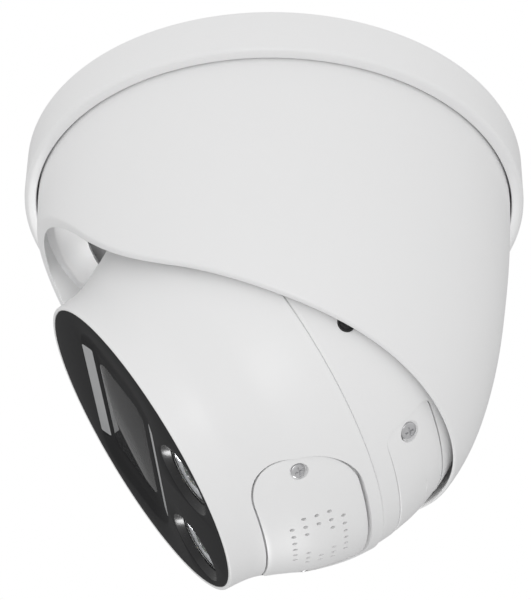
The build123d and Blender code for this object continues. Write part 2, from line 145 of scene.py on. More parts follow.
# smooth rule through (x, y) points, as a function
def natural(points):
    x, y = np.array(sorted(points), float).T
    n = len(x)
    h = np.diff(x)
    a = np.eye(n)
    b = np.zeros(n)
    for i in range(1, n - 1):
        a[i, i - 1:i + 2] = h[i - 1], 2 * (h[i - 1] + h[i]), h[i]
        b[i] = 6 * ((y[i + 1] - y[i]) / h[i] - (y[i] - y[i - 1]) / h[i - 1])
    m = np.linalg.solve(a, b)

    def rule(t):
        i = int(min(max(np.searchsorted(x, t) - 1, 0), n - 2))
        u, v = x[i + 1] - t, t - x[i]
        bend = (m[i] * u ** 3 + m[i + 1] * v ** 3) / (6 * h[i])
        return float(bend + (y[i] / h[i] - m[i] * h[i] / 6) * u + (y[i + 1] / h[i] - m[i + 1] * h[i] / 6) * v)

    return rule


# closed outline of (radius, height, rounding) corners with each corner rounded
def rounded(corners, steps=4):
    points = []
    count = len(corners)
    for i, corner in enumerate(corners):
        here = np.array(corner[:2], float)
        rounding = corner[2] if len(corner) > 2 else 0
        if not rounding:
            points.append(tuple(here))
            continue
        before = np.array(corners[i - 1][:2], float) - here
        after = np.array(corners[(i + 1) % count][:2], float) - here
        start = here + before / np.linalg.norm(before) * rounding
        end = here + after / np.linalg.norm(after) * rounding
        for k in range(steps + 1):
            t = k / steps
            points.append(tuple((1 - t) ** 2 * start + 2 * t * (1 - t) * here + t * t * end))
    return points


# turns a closed outline round the vertical: a ring, extruded and scaled from point to point
def latheShell(name, outline, sides=224):
    putDown()
    axis = 0.002    # a point on the axis is a tiny ring, which closeUp merges
    path = [(max(r, axis), z) for r, z in outline]
    radius, height = path[0]
    bpy.ops.mesh.primitive_circle_add(vertices=sides, radius=radius * mm, location=(0, 0, height * mm))
    piece = nameIt(name)
    editAll()
    for (r0, z0), (r1, z1) in zip(path, path[1:] + path[:1]):
        bpy.ops.mesh.extrude_edges_move(TRANSFORM_OT_translate={"value": (0, 0, (z1 - z0) * mm)})
        bpy.ops.transform.resize(value=(r1 / r0, r1 / r0, 1), center_override=(0, 0, 0))
    return closeUp(piece)


# rounded rectangle pulled up; shrink draws its top in on each side
def roundedSlab(name, width, height, corner, low, high, middle=(0, 0), steps=10, shrink=0.0):
    putDown()
    bpy.ops.mesh.primitive_plane_add(size=1, location=(middle[0] * mm, middle[1] * mm, low * mm))
    bpy.context.active_object.scale = (width * mm, height * mm, 1)
    piece = nameIt(name)
    editAll()
    bpy.ops.mesh.bevel(offset=corner * mm, segments=steps, affect="VERTICES")
    bpy.ops.mesh.select_all(action="SELECT")
    bpy.ops.mesh.extrude_region_move(TRANSFORM_OT_translate={"value": (0, 0, (high - low) * mm)})
    if shrink:
        bpy.ops.transform.resize(
            value=((width - 2 * shrink) / width, (height - 2 * shrink) / height, 1),
            center_override=(middle[0] * mm, middle[1] * mm, high * mm),
        )
    return closeUp(piece)


# turns a slab's outline so that it looks down from the ball's axis, centred at that depth
def pointDown(piece, middle):
    piece.data.transform(Matrix.Translation((0, 0, middle * mm)) @ Matrix.Rotation(math.radians(90), 4, "X"))
    return piece


# place on the ball: up is outwards, angle 0 is the underside
def radialPlace(angle, depth):
    a = math.radians(angle)
    out = Vector((math.sin(a), -math.cos(a), 0))
    along = Vector((0, 0, 1))
    place = Matrix((along, out.cross(along), out)).transposed().to_4x4()
    place.translation = Vector((0, 0, depth * mm))
    return place


def onCircle(radius, angle):
    a = math.radians(angle)
    return Matrix.Translation((radius * math.cos(a) * mm, radius * math.sin(a) * mm, 0))


def rodShape(name, radius, low, high, sides=32):
    putDown()
    bpy.ops.mesh.primitive_cylinder_add(
        vertices=sides, radius=radius * mm, depth=(high - low) * mm, location=(0, 0, (low + high) / 2 * mm)
    )
    return nameIt(name)


def boxShape(name, size, middle):
    putDown()
    bpy.ops.mesh.primitive_cube_add(size=1, location=[m * mm for m in middle])
    bpy.context.active_object.scale = [s * mm for s in size]
    return nameIt(name)


# puts a finished piece on its body in the CAD node's stead
def standIn(piece, body, node, slotName, place=None):
    if place is not None:
        piece.data.transform(place)
    piece.data.materials.clear()
    piece.data.materials.append(finishes[slotName])
    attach(piece, body)
    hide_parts(node)
    return piece


# millimetres and degrees
shot = {
    "place": (414.1, 27.6, -328.9),
    "lookAt": (6.23, -1.24, -40.87),
    "roll": 0.953,
    "lens": 127.7,
    "sensor": 36.0,
    "floorBelow": 1250.0,
    "floorSize": 7.0,       # metres
}


def setUpShot():
    scene = bpy.context.scene
    lens = bpy.data.cameras.new("shotCamera")
    lens.lens = shot["lens"]
    lens.sensor_width = shot["sensor"]
    lens.clip_start = 0.01
    camera = bpy.data.objects.new("shotCamera", lens)
    scene.collection.objects.link(camera)
    place = Vector(shot["place"]) * mm
    towards = Vector(shot["lookAt"]) * mm - place
    camera.location = place
    camera.rotation_mode = "QUATERNION"
    turn = Quaternion((0, 0, 1), math.radians(shot["roll"]))
    camera.rotation_quaternion = towards.to_track_quat("-Z", "Y") @ turn
    scene.camera = camera
    scene.view_settings.view_transform = "Standard"

    putDown()
    bpy.ops.mesh.primitive_plane_add(size=shot["floorSize"], location=(0, 0, -shot["floorBelow"] * mm))
    floor = nameIt("paleFloor")
    paint = bpy.data.materials.new("paleFloor")
    paint.use_nodes = True
    coat = paint.node_tree.nodes["Principled BSDF"]
    coat.inputs["Base Color"].default_value = (0.86, 0.86, 0.86, 1)
    coat.inputs["Roughness"].default_value = 0.8
    floor.data.materials.append(paint)


studio = {
    "backdrop": 1.0,        # what the camera sees behind the object
    "fill": 0.76,           # light from all round
    "mirrorFill": 0.80,     # what glossy surfaces reflect
    "mirrorShade": 0.22,    # and what they reflect on the far side
    "shadeSpan": (-0.95, 0.10),
    "lamps": [
        # lights: it falls on surfaces; shines: glossy surfaces reflect it
        {
            "name": "besideCamera", "place": (0.71, 0.02, -0.52), "aim": (0, 0, -0.05),
            "size": 0.30, "spread": 180, "watts": 1.15, "lights": True, "shines": True,
        },
        {
            "name": "farSide", "place": (-1.05, -0.14, -0.84), "aim": (0, 0, -0.07),
            "size": 0.50, "spread": 180, "watts": 8.0, "lights": False, "shines": True,
        },
        {
            "name": "underHood", "place": (0.005, -0.048, -0.022), "aim": (-0.052, -0.032, -0.038),
            "size": 0.006, "spread": 100, "watts": 0.0015, "lights": True, "shines": False,
        },
    ],
}


def lightStudio():
    world = bpy.data.worlds.new("studio")
    bpy.context.scene.world = world
    world.use_nodes = True
    tree = world.node_tree
    tree.nodes.clear()
    link = tree.links.new
    path = tree.nodes.new("ShaderNodeLightPath")

    def glow(strength):
        node = tree.nodes.new("ShaderNodeBackground")
        node.inputs["Color"].default_value = (1, 1, 1, 1)
        node.inputs["Strength"].default_value = strength
        return node

    # mirrors see a shaded side towards -X, so black parts stay black
    where = tree.nodes.new("ShaderNodeTexCoord")
    split = tree.nodes.new("ShaderNodeSeparateXYZ")
    link(where.outputs["Generated"], split.inputs[0])
    mirror = glow(1.0)
    fade = spanNode(
        tree, split.outputs["X"], *studio["shadeSpan"], studio["mirrorShade"], studio["mirrorFill"]
    )
    link(fade, mirror.inputs["Strength"])

    shader = glow(studio["fill"]).outputs[0]
    for ray, other in (("Is Glossy Ray", mirror), ("Is Camera Ray", glow(studio["backdrop"]))):
        mix = tree.nodes.new("ShaderNodeMixShader")
        link(path.outputs[ray], mix.inputs[0])
        link(shader, mix.inputs[1])
        link(other.outputs[0], mix.inputs[2])
        shader = mix.outputs[0]
    out = tree.nodes.new("ShaderNodeOutputWorld")
    link(shader, out.inputs[0])

    for settings in studio["lamps"]:
        lamp = bpy.data.lights.new(settings["name"], "AREA")
        lamp.shape = "DISK"
        lamp.size = settings["size"]
        lamp.spread = math.radians(settings["spread"])
        lamp.energy = settings["watts"]
        holder = bpy.data.objects.new(settings["name"], lamp)
        bpy.context.scene.collection.objects.link(holder)
        holder.location = settings["place"]
        towards = Vector(settings["aim"]) - Vector(settings["place"])
        holder.rotation_mode = "QUATERNION"
        holder.rotation_quaternion = towards.to_track_quat("-Z", "Y")
        holder.visible_diffuse = settings["lights"]
        holder.visible_glossy = settings["shines"]
        holder.visible_camera = False


def newGroup(name, inputs, outputs):
    group = bpy.data.node_groups.new(name, "ShaderNodeTree")
    for label, value in inputs:
        socket = group.interface.new_socket(name=label, in_out="INPUT", socket_type="NodeSocketFloat")
        socket.default_value = value
    for label in outputs:
        group.interface.new_socket(name=label, in_out="OUTPUT", socket_type="NodeSocketFloat")
    return group, group.nodes.new("NodeGroupInput"), group.nodes.new("NodeGroupOutput")


# a value is either a number or another node's output
def feed(tree, socket, value):
    if isinstance(value, (int, float, tuple)):
        socket.default_value = value
    else:
        tree.links.new(value, socket)


def mathNode(tree, operation, *values):
    node = tree.nodes.new("ShaderNodeMath")
    node.operation = operation
    for socket, value in zip(node.inputs, values):
        feed(tree, socket, value)
    return node.outputs[0]


def spanNode(tree, value, fromMin=0.0, fromMax=1.0, toMin=0.0, toMax=1.0):
    node = tree.nodes.new("ShaderNodeMapRange")
    labels = ("Value", "From Min", "From Max", "To Min", "To Max")
    for label, number in zip(labels, (value, fromMin, fromMax, toMin, toMax)):
        feed(tree, node.inputs[label], number)
    return node.outputs[0]


# how far along a direction a place is, from the ball's middle
def alongBall(group, direction):
    where = group.nodes.new("ShaderNodeTexCoord")
    shift = group.nodes.new("ShaderNodeVectorMath")
    shift.operation = "SUBTRACT"
    shift.inputs[1].default_value = ballMiddle
    along = group.nodes.new("ShaderNodeVectorMath")
    along.operation = "DOT_PRODUCT"
    along.inputs[1].default_value = direction
    group.links.new(where.outputs["Object"], shift.inputs[0])
    group.links.new(shift.outputs[0], along.inputs[0])
    return mathNode(group, "MULTIPLY", along.outputs["Value"], 1 / mm)


def mixColours(tree, amount, first, second):
    node = tree.nodes.new("ShaderNodeMix")
    node.data_type = "RGBA"
    feed(tree, node.inputs[0], amount)
    feed(tree, node.inputs[6], first)
    feed(tree, node.inputs[7], second)
    return node.outputs[2]


def noiseNode(group, scale, detail=3.0):
    where = group.nodes.new("ShaderNodeTexCoord")
    noise = group.nodes.new("ShaderNodeTexNoise")
    noise.inputs["Detail"].default_value = detail
    feed(group, noise.inputs["Scale"], scale)
    group.links.new(where.outputs["Object"], noise.inputs["Vector"])
    return noise.outputs["Fac"]


# moulded or sprayed grain: fine pimples over a slower ripple
def makeGrainGroup():
    group, source, sink = newGroup("sprayGrain", [("Scale", 1800.0), ("Ripple", 0.35)], ["Height"])
    fine = noiseNode(group, source.outputs["Scale"], 2.0)
    slow = noiseNode(group, mathNode(group, "MULTIPLY", source.outputs["Scale"], 0.16), 1.0)
    ripple = mathNode(group, "MULTIPLY", slow, source.outputs["Ripple"])
    group.links.new(mathNode(group, "ADD", fine, ripple), sink.inputs["Height"])
    return group


# handling marks and cloudiness, as a mask about a half
def makeMottleGroup():
    group, source, sink = newGroup("handMottle", [("Scale", 60.0), ("Contrast", 1.0)], ["Mask"])
    cloud = noiseNode(group, source.outputs["Scale"], 4.0)
    smear = noiseNode(group, mathNode(group, "MULTIPLY", source.outputs["Scale"], 5.0), 2.0)
    both = mathNode(group, "MULTIPLY_ADD", smear, 0.3, mathNode(group, "MULTIPLY", cloud, 0.7))
    centred = mathNode(group, "MULTIPLY", mathNode(group, "SUBTRACT", both, 0.5), source.outputs["Contrast"])
    group.links.new(mathNode(group, "ADD", centred, 0.5), sink.inputs["Mask"])
    return group


# rubbed outer edges, from the mesh's own pointiness, broken up by noise
def makeEdgeGroup():
    group, source, sink = newGroup("edgeRub", [("Start", 0.53), ("End", 0.62)], ["Mask"])
    geometry = group.nodes.new("ShaderNodeNewGeometry")
    worn = spanNode(group, geometry.outputs["Pointiness"], source.outputs["Start"], source.outputs["End"])
    broken = mathNode(group, "MULTIPLY", worn, noiseNode(group, 420.0))
    group.links.new(broken, sink.inputs["Mask"])
    return group


# hair-fine scratches from cleaning, as a mask
def makeScratchGroup():
    group, source, sink = newGroup("wipeMarks", [("Scale", 300.0)], ["Mask"])
    where = group.nodes.new("ShaderNodeTexCoord")
    stretch = group.nodes.new("ShaderNodeMapping")
    stretch.inputs["Scale"].default_value = (1.0, 0.06, 1.0)
    stretch.inputs["Rotation"].default_value = (0.2, 0.5, 0.7)
    noise = group.nodes.new("ShaderNodeTexNoise")
    noise.inputs["Detail"].default_value = 4.0
    group.links.new(where.outputs["Object"], stretch.inputs["Vector"])
    group.links.new(stretch.outputs[0], noise.inputs["Vector"])
    group.links.new(source.outputs["Scale"], noise.inputs["Scale"])
    group.links.new(spanNode(group, noise.outputs["Fac"], 0.62, 0.75), sink.inputs["Mask"])
    return group


# coat over the face in front of a depth along the ball's axis, and over the lamps' mouths behind it
def makeFaceGroup():
    group, source, sink = newGroup(
        "flatFace",
        [("Depth", 36.35), ("Low", 0.0), ("High", 1.0), ("Mouth", 0.5), ("LampsBelow", -10.5)],
        ["Weight"],
    )
    depth = alongBall(group, lookAxis)
    height = alongBall(group, upAxis)
    face = source.outputs["Depth"]
    start = mathNode(group, "SUBTRACT", face, 0.08)
    flat = spanNode(group, depth, start, face, source.outputs["Low"], source.outputs["High"])
    lamps = mathNode(group, "LESS_THAN", height, source.outputs["LampsBelow"])
    behind = mathNode(group, "LESS_THAN", depth, mathNode(group, "SUBTRACT", face, 0.04))
    mouths = mathNode(group, "MULTIPLY", mathNode(group, "MULTIPLY", lamps, behind), source.outputs["Mouth"])
    group.links.new(mathNode(group, "MAXIMUM", flat, mouths), sink.inputs["Weight"])
    return group


# a finish with its own colour drift, roughness drift and surface grain; scales are per metre, depth in mm
def finish(
    name, colour, roughness, mottle, metallic=0.0, grain=None, rub=None, wipe=None, shader=None, glossFace=None
):
    material = bpy.data.materials.new(name)
    material.use_nodes = True
    tree = material.node_tree
    coat = tree.nodes["Principled BSDF"]
    coat.inputs["Metallic"].default_value = metallic
    for label, value in (shader or {}).items():
        coat.inputs[label].default_value = value
    link = tree.links.new

    def place(group, **values):
        node = tree.nodes.new("ShaderNodeGroup")
        node.node_tree = group
        for label, value in values.items():
            node.inputs[label].default_value = value
        return node.outputs[0]

    cloud = place(groups["mottle"], Scale=mottle["scale"])
    darker = tuple(c * (1 - mottle["tone"]) for c in colour)
    lighter = tuple(min(1.0, c * (1 + mottle["tone"])) for c in colour)
    shade = mixColours(tree, cloud, (*darker, 1), (*lighter, 1))
    if rub:
        edge = place(groups["edge"])
        shade = mixColours(tree, mathNode(tree, "MULTIPLY", edge, rub["amount"]), shade, (*rub["colour"], 1))
    link(shade, coat.inputs["Base Color"])

    glossiest = max(0.02, roughness - mottle["gloss"])
    matt = spanNode(tree, cloud, toMin=glossiest, toMax=roughness + mottle["gloss"])
    if wipe:
        marks = place(groups["wipe"], Scale=wipe["scale"])
        matt = mathNode(tree, "MULTIPLY_ADD", marks, wipe["amount"], matt)
    link(matt, coat.inputs["Roughness"])

    if glossFace:
        face = place(
            groups["face"], Depth=glossFace["from"], Low=glossFace["low"], High=glossFace["high"],
            Mouth=glossFace["mouth"],
        )
        link(face, coat.inputs["Coat Weight"])

    if grain:
        height = place(groups["grain"], Scale=grain["scale"])
        bump = tree.nodes.new("ShaderNodeBump")
        bump.inputs["Strength"].default_value = grain["strength"]
        bump.inputs["Distance"].default_value = grain.get("depth", 0.02) * mm
        link(height, bump.inputs["Height"])
        link(bump.outputs[0], coat.inputs["Normal"])
    return material


def makeFinishes():
    white = {"scale": 1500.0, "strength": 0.35, "depth": 0.03}
    clean = {"scale": 45.0, "tone": 0.008, "gloss": 0.05}
    return {
        "white_paint": finish(
            "whitePaint", (0.90, 0.90, 0.902), 0.42, grain=white, mottle=clean,
            rub={"colour": (0.95, 0.95, 0.945), "amount": 0.5}, wipe={"scale": 260.0, "amount": 0.05},
        ),
        "black_panel": finish(
            "blackPanel", (0.010, 0.010, 0.011), 0.55,
            grain={"scale": 900.0, "strength": 0.08, "depth": 0.01},
            mottle={"scale": 80.0, "tone": 0.10, "gloss": 0.04},
            rub={"colour": (0.04, 0.04, 0.04), "amount": 0.5},
            shader={"Specular IOR Level": 0.07, "Coat Roughness": 0.22, "Coat IOR": 1.5},
            glossFace={"from": 36.54, "low": 0.02, "high": 0.12, "mouth": 0.8},
        ),
        "window_glass": finish(
            "windowGlass", (0.16, 0.16, 0.17), 0.0, mottle={"scale": 90.0, "tone": 0.05, "gloss": 0.004},
            shader={"IOR": 1.55, "Transmission Weight": 0.92},
        ),
        "light_guide": finish(
            "lightGuide", (0.42, 0.425, 0.43), 0.35, grain={"scale": 1400.0, "strength": 0.2},
            mottle={"scale": 120.0, "tone": 0.05, "gloss": 0.06},
        ),
        "lens_glass": finish(
            "lensGlass", (0.95, 0.96, 0.97), 0.03, mottle={"scale": 120.0, "tone": 0.01, "gloss": 0.01},
            shader={"IOR": 1.49, "Transmission Weight": 1.0},
        ),
        "filter_glass": finish(
            "filterGlass", (0.45, 0.75, 0.80), 0.03, mottle={"scale": 120.0, "tone": 0.01, "gloss": 0.01},
            shader={"IOR": 1.5, "Transmission Weight": 0.8},
        ),
        "rubber": finish(
            "blackRubber", (0.018, 0.018, 0.018), 0.70, grain={"scale": 1300.0, "strength": 0.5},
            mottle={"scale": 150.0, "tone": 0.2, "gloss": 0.08},
        ),
        "nylon": finish(
            "paleNylon", (0.74, 0.72, 0.66), 0.50, grain={"scale": 900.0, "strength": 0.2},
            mottle={"scale": 90.0, "tone": 0.03, "gloss": 0.06},
        ),
        "steel": finish(
            "zincSteel", (0.60, 0.60, 0.61), 0.34, metallic=1.0, grain={"scale": 1200.0, "strength": 0.15},
            mottle={"scale": 140.0, "tone": 0.06, "gloss": 0.08}, wipe={"scale": 700.0, "amount": 0.12},
            rub={"colour": (0.75, 0.75, 0.75), "amount": 0.6},
        ),
        "white_steel": finish(
            "whiteSteel", (0.88, 0.88, 0.88), 0.45, grain=white, mottle=clean,
            wipe={"scale": 300.0, "amount": 0.05},
        ),
        "brass": finish(
            "turnedBrass", (0.72, 0.52, 0.24), 0.28, metallic=1.0, grain={"scale": 1200.0, "strength": 0.1},
            mottle={"scale": 140.0, "tone": 0.06, "gloss": 0.06},
        ),
        "bare_aluminium": finish(
            "bareAluminium", (0.70, 0.71, 0.72), 0.38, metallic=1.0, grain={"scale": 800.0, "strength": 0.2},
            mottle={"scale": 120.0, "tone": 0.04, "gloss": 0.06}, wipe={"scale": 500.0, "amount": 0.1},
        ),
        "black_metal": finish(
            "blackAnodised", (0.015, 0.015, 0.016), 0.38, metallic=0.6,
            grain={"scale": 1500.0, "strength": 0.2}, mottle={"scale": 150.0, "tone": 0.1, "gloss": 0.05},
            rub={"colour": (0.2, 0.2, 0.2), "amount": 0.5},
        ),
        "reflector": finish(
            "mirrorCup", (0.86, 0.86, 0.87), 0.12, metallic=1.0,
            mottle={"scale": 150.0, "tone": 0.02, "gloss": 0.04},
        ),
        "circuit_board": finish(
            "solderMask", (0.012, 0.10, 0.045), 0.32, grain={"scale": 700.0, "strength": 0.3},
            mottle={"scale": 240.0, "tone": 0.3, "gloss": 0.08},
        ),
        "black_plastic": finish(
            "blackPlastic", (0.022, 0.022, 0.023), 0.45, grain={"scale": 1300.0, "strength": 0.4},
            mottle={"scale": 150.0, "tone": 0.12, "gloss": 0.06},
        ),
        "white_plastic": finish(
            "whitePlastic", (0.78, 0.78, 0.775), 0.40, grain={"scale": 1300.0, "strength": 0.2}, mottle=clean,
        ),
        "thermal_pad": finish(
            "thermalPad", (0.36, 0.42, 0.52), 0.75, grain={"scale": 900.0, "strength": 0.4},
            mottle={"scale": 150.0, "tone": 0.08, "gloss": 0.05},
        ),
        "sensor": finish(
            "sensorFace", (0.05, 0.04, 0.07), 0.15, mottle={"scale": 300.0, "tone": 0.3, "gloss": 0.05},
        ),
        "led_white": finish(
            "whiteLed", (0.86, 0.80, 0.42), 0.45, mottle={"scale": 400.0, "tone": 0.08, "gloss": 0.05},
        ),
        "led_amber": finish(
            "amberLed", (0.75, 0.52, 0.12), 0.45, mottle={"scale": 400.0, "tone": 0.1, "gloss": 0.05},
        ),
    }


setUpShot()
lightStudio()
groups = {
    "grain": makeGrainGroup(),
    "mottle": makeMottleGroup(),
    "edge": makeEdgeGroup(),
    "wipe": makeScratchGroup(),
    "face": makeFaceGroup(),
}
finishes = makeFinishes()
print("shot, light and finishes ready")

slotOf = {part["node"]: part["material_slot"] for part in record["subparts"]}
for nodeName, node in frame["nodes"].items():
    node.data.materials.clear()
    node.data.materials.append(finishes[slotOf[nodeName]])
print("carried-over parts painted")


# millimetres: radii, and heights under the ceiling
baseShape = {
    "radius": 61.0, "height": 11.5, "plate": 3.0, "skirtBore": 58.1, "boss": (45.2, 49.95), "bossFoot": -6.7,
    "cable": 9.0, "grommet": 11.2, "gasket": (54.0, 57.0), "gasketDepth": 1.2,
    "screwCircle": 39.0, "screwHole": 2.3, "screwAngles": (90, 210, 330),
}


def makeBase():
    s = baseShape
    under = -s["plate"]
    outline = rounded([
        (s["radius"], 0, 0.6), (s["radius"], -s["height"], 1.2), (s["skirtBore"], -s["height"], 0.3),
        (s["skirtBore"], under, 0.3), (s["boss"][1], under, 0), (s["boss"][1], s["bossFoot"], 0.2),
        (s["boss"][0], s["bossFoot"], 0.2), (s["boss"][0], under, 0.3), (s["cable"], under, 0.2),
        (s["cable"], -1.0, 0), (s["grommet"], -1.0, 0), (s["grommet"], 0, 0.15),
        (s["gasket"][0], 0, 0.15), (s["gasket"][0], -s["gasketDepth"], 0),
        (s["gasket"][1], -s["gasketDepth"], 0), (s["gasket"][1], 0, 0.15),
    ], steps=5)
    base = latheShell("ceilingBase", outline, 288)
    for angle in s["screwAngles"]:
        drill = latheShell("drill", [
            (0, 2), (s["screwHole"] + 2.3, 2), (s["screwHole"] + 0.25, -0.05), (s["screwHole"], -0.3),
            (s["screwHole"], -6), (0, -6),
        ], 40)
        drill.data.transform(onCircle(s["screwCircle"], angle))
        carve(base, drill)
    smoothOff(base)
    return standIn(base, "base", "mounting_base", "white_paint")


coverShape = {
    # height and radius down the wall
    "outside": [
        (-11.5, 57.65), (-25, 56.88), (-40, 55.12), (-52, 53.19), (-62, 50.81), (-72, 47.39), (-82, 41.75),
        (-85.6, 38.9),
    ],
    "inside": [
        (-15.2, 55.85), (-25, 55.1), (-40, 53.3), (-52, 51.4), (-62, 49.05), (-72, 45.7), (-82, 40.7),
        (-85.6, 37.6),
    ],
    "top": -4.6, "topRadius": 57.65, "bore": 50.0, "flange": -6.6, "wall": 1.8, "ledge": (-13.2, -15.2),
    "ledgeBore": 48.6, "lip": 0.6,
    # the mouth seen from the side: a steep front, a bend, then a gentler slope to the back
    "knee": (-32.1, -54.1), "steep": 1.347, "bendFrom": -40.0, "bendTo": -19.0,
    "slope": [(-19.0, -59.4), (5.0, -68.5), (28.0, -76.1), (44.0, -82.9)],
    "sides": 320, "wallRows": 46, "lipRows": 5, "innerRows": 30, "deepest": -85.5, "halvings": 40,
}


# height of the cover's slanted mouth, seen from the side, for each place front to back
def openingRule():
    s = coverShape
    slope = natural(s["slope"])

    def front(y):
        return s["knee"][1] - s["steep"] * (y - s["knee"][0])

    bend = [(y, front(y)) for y in (s["bendFrom"] - 3, s["bendFrom"])]
    bend += [(y, slope(y)) for y in (s["bendTo"], s["bendTo"] + 3)]
    curve = natural(bend)

    def rule(y):
        if y < s["bendFrom"]:
            return front(y)
        if y < s["bendTo"]:
            return curve(y)
        return slope(y)

    return rule


def makeCover():
    s = coverShape
    outside, inside = natural(s["outside"]), natural(s["inside"])
    mouth = openingRule()

    def rimHeight(radiusAt, cosine, start):
        high, low = start, s["deepest"]
        for _ in range(s["halvings"]):
            middle = (high + low) / 2
            if middle > mouth(-radiusAt(middle) * cosine):
                high = middle
            else:
                low = middle
        return high

    def straightTop(z):
        return s["topRadius"] if z > -11.5 else outside(z)

    def blend(a, b, c):
        steps = [k / s["lipRows"] for k in range(s["lipRows"] + 1)]
        return [(1 - t) ** 2 * a + 2 * t * (1 - t) * b + t * t * c for t in steps]

    def section(cosine):
        outRim = rimHeight(straightTop, cosine, s["top"])
        inRim = rimHeight(inside, cosine, s["ledge"][1] - 0.2)
        outCorner = np.array((straightTop(outRim), outRim))
        inCorner = np.array((inside(inRim), inRim))
        across = inCorner - outCorner
        across /= np.linalg.norm(across)
        lip = s["lip"]
        outStart = np.array((straightTop(outRim + lip), outRim + lip))
        inEnd = np.array((inside(inRim + lip), inRim + lip))
        wallHeights = np.linspace(s["top"], outRim + lip, s["wallRows"])[:-1]
        rows = [np.array((straightTop(z), z)) for z in wallHeights]
        rows += blend(outStart, outCorner, outCorner + across * lip)
        rows += blend(inCorner - across * lip, inCorner, inEnd)
        innerHeights = np.linspace(inRim + lip, s["ledge"][1], s["innerRows"])[1:]
        rows += [np.array((inside(z), z)) for z in innerHeights]
        wall = s["topRadius"] - s["wall"]
        corners = [
            (s["ledgeBore"], s["ledge"][1]), (s["ledgeBore"], s["ledge"][0]), (wall, s["ledge"][0]),
            (wall, s["flange"]), (s["bore"], s["flange"]), (s["bore"], s["top"]), (s["topRadius"], s["top"]),
        ]
        return rows + [np.array(corner) for corner in corners]

    sides = s["sides"]
    sections = [section(math.cos(2 * math.pi * i / sides)) for i in range(sides // 2 + 1)]
    rows = len(sections[0]) - 1
    putDown()
    bpy.ops.mesh.primitive_grid_add(x_subdivisions=sides, y_subdivisions=rows, size=2)
    cover = nameIt("domeCover")
    for vertex in cover.data.vertices:
        i = round((vertex.co.x + 1) / 2 * sides)
        j = round((vertex.co.y + 1) / 2 * rows)
        radius, z = sections[min(i, sides - i)][j]
        a = 2 * math.pi * i / sides
        vertex.co = (radius * math.sin(a) * mm, -radius * math.cos(a) * mm, z * mm)
    closeUp(cover)
    smoothOff(cover, 40)
    return standIn(cover, "pan", "dome_cover", "white_paint")


# millimetres: radii, and depths along the lens from the ball's middle
ballShape = {
    "front": 47.4, "rear": 47.0, "seam": 2.05, "seamGap": 0.12, "seamRound": 0.28,
    # depth and radius, for the casing's taper and for the door's skin
    "shoulder": [(17, 44.25), (20, 42.75), (24, 40.7), (28, 38.75), (32, 37.75), (36.65, 37.3)],
    "bezelFront": 36.65, "panelBore": 36.45, "ledge": (33.6, 31.6), "ledgeBore": 33.6, "wall": 4.0,
    "back": -33.6, "hub": 11.95, "hubEnd": -38.2, "glandBore": 6.3, "rearWall": 2.4,
    "door": [(2, 46.95), (6, 46.5), (12, 45.3), (18, 43.45), (24, 40.75), (30, 38.2)],
    "doorLength": 50.8, "doorWidth": 22.9, "doorCorner": 10.4, "doorMiddle": 16.55, "doorThick": 1.8,
    "doorLedge": (15.2, 6), "doorWayCorner": 7.5,
    "plateLength": 44.0, "plateWidth": 14.2, "plateCorner": 3.0, "plateMiddle": -9.7, "plateBed": 45.15,
    "screwCircle": 42.0, "screwAngles": (90, 210, 330), "screwPocket": 2.7, "pocketTop": -16.2,
    "plugAngle": 60.5, "plugDepth": -6.6, "plugHole": 2.1,
}


def doorRadius():
    return natural(ballShape["door"])


def shoulderRadius():
    s = ballShape
    sphere = [(z, math.sqrt(s["front"] ** 2 - z * z)) for z in (2.05, 6, 10, 14)]
    return natural(sphere + s["shoulder"])


def makeFrontCasing():
    s = ballShape
    outside = shoulderRadius()
    seam = s["seam"]
    front = s["bezelFront"]
    wall = [(outside(z), z) for z in np.linspace(seam + s["seamRound"] * 2, front - 0.6, 64)]
    inner = [(min(outside(z), 46.9) - s["wall"], z) for z in np.linspace(s["ledge"][1] - 1.6, seam, 24)]
    edge = outside(seam)
    seamCorner = [(edge - 0.34, seam), (edge - 0.12, seam + 0.06), (edge, seam + 0.28)]
    rim = [
        (outside(front - 0.3) - 0.01, front - 0.32), (37.2, front - 0.1), (37.02, front), (36.72, front),
        (36.5, front - 0.08), (s["panelBore"], front - 0.25),
    ]
    bore = [(s["panelBore"], s["ledge"][0]), (s["ledgeBore"], s["ledge"][0]), (s["ledgeBore"], s["ledge"][1])]
    casing = latheShell("frontCasing", seamCorner + wall + rim + bore + inner, 288)

    skin = doorRadius()
    first, last = s["door"][0][0], s["door"][-1][0]
    seat = [(skin(z) - s["doorThick"] - 0.05, z) for z in np.linspace(first, last, 40)]
    core = latheShell("doorCore", seat + [(0, last), (0, first)], 160)
    recess = roundedSlab("doorRecess", s["doorLength"], s["doorWidth"], s["doorCorner"], 20, 60, steps=14)
    carve(casing, carve(pointDown(recess, s["doorMiddle"]), core))
    length, width = s["doorLength"] - s["doorLedge"][0], s["doorWidth"] - s["doorLedge"][1]
    through = roundedSlab("doorWay", length, width, s["doorWayCorner"], 20, 60)
    carve(casing, pointDown(through, s["doorMiddle"]))
    smoothOff(casing)
    return standIn(casing, "ball", "front_casing", "white_paint", ballPlace)


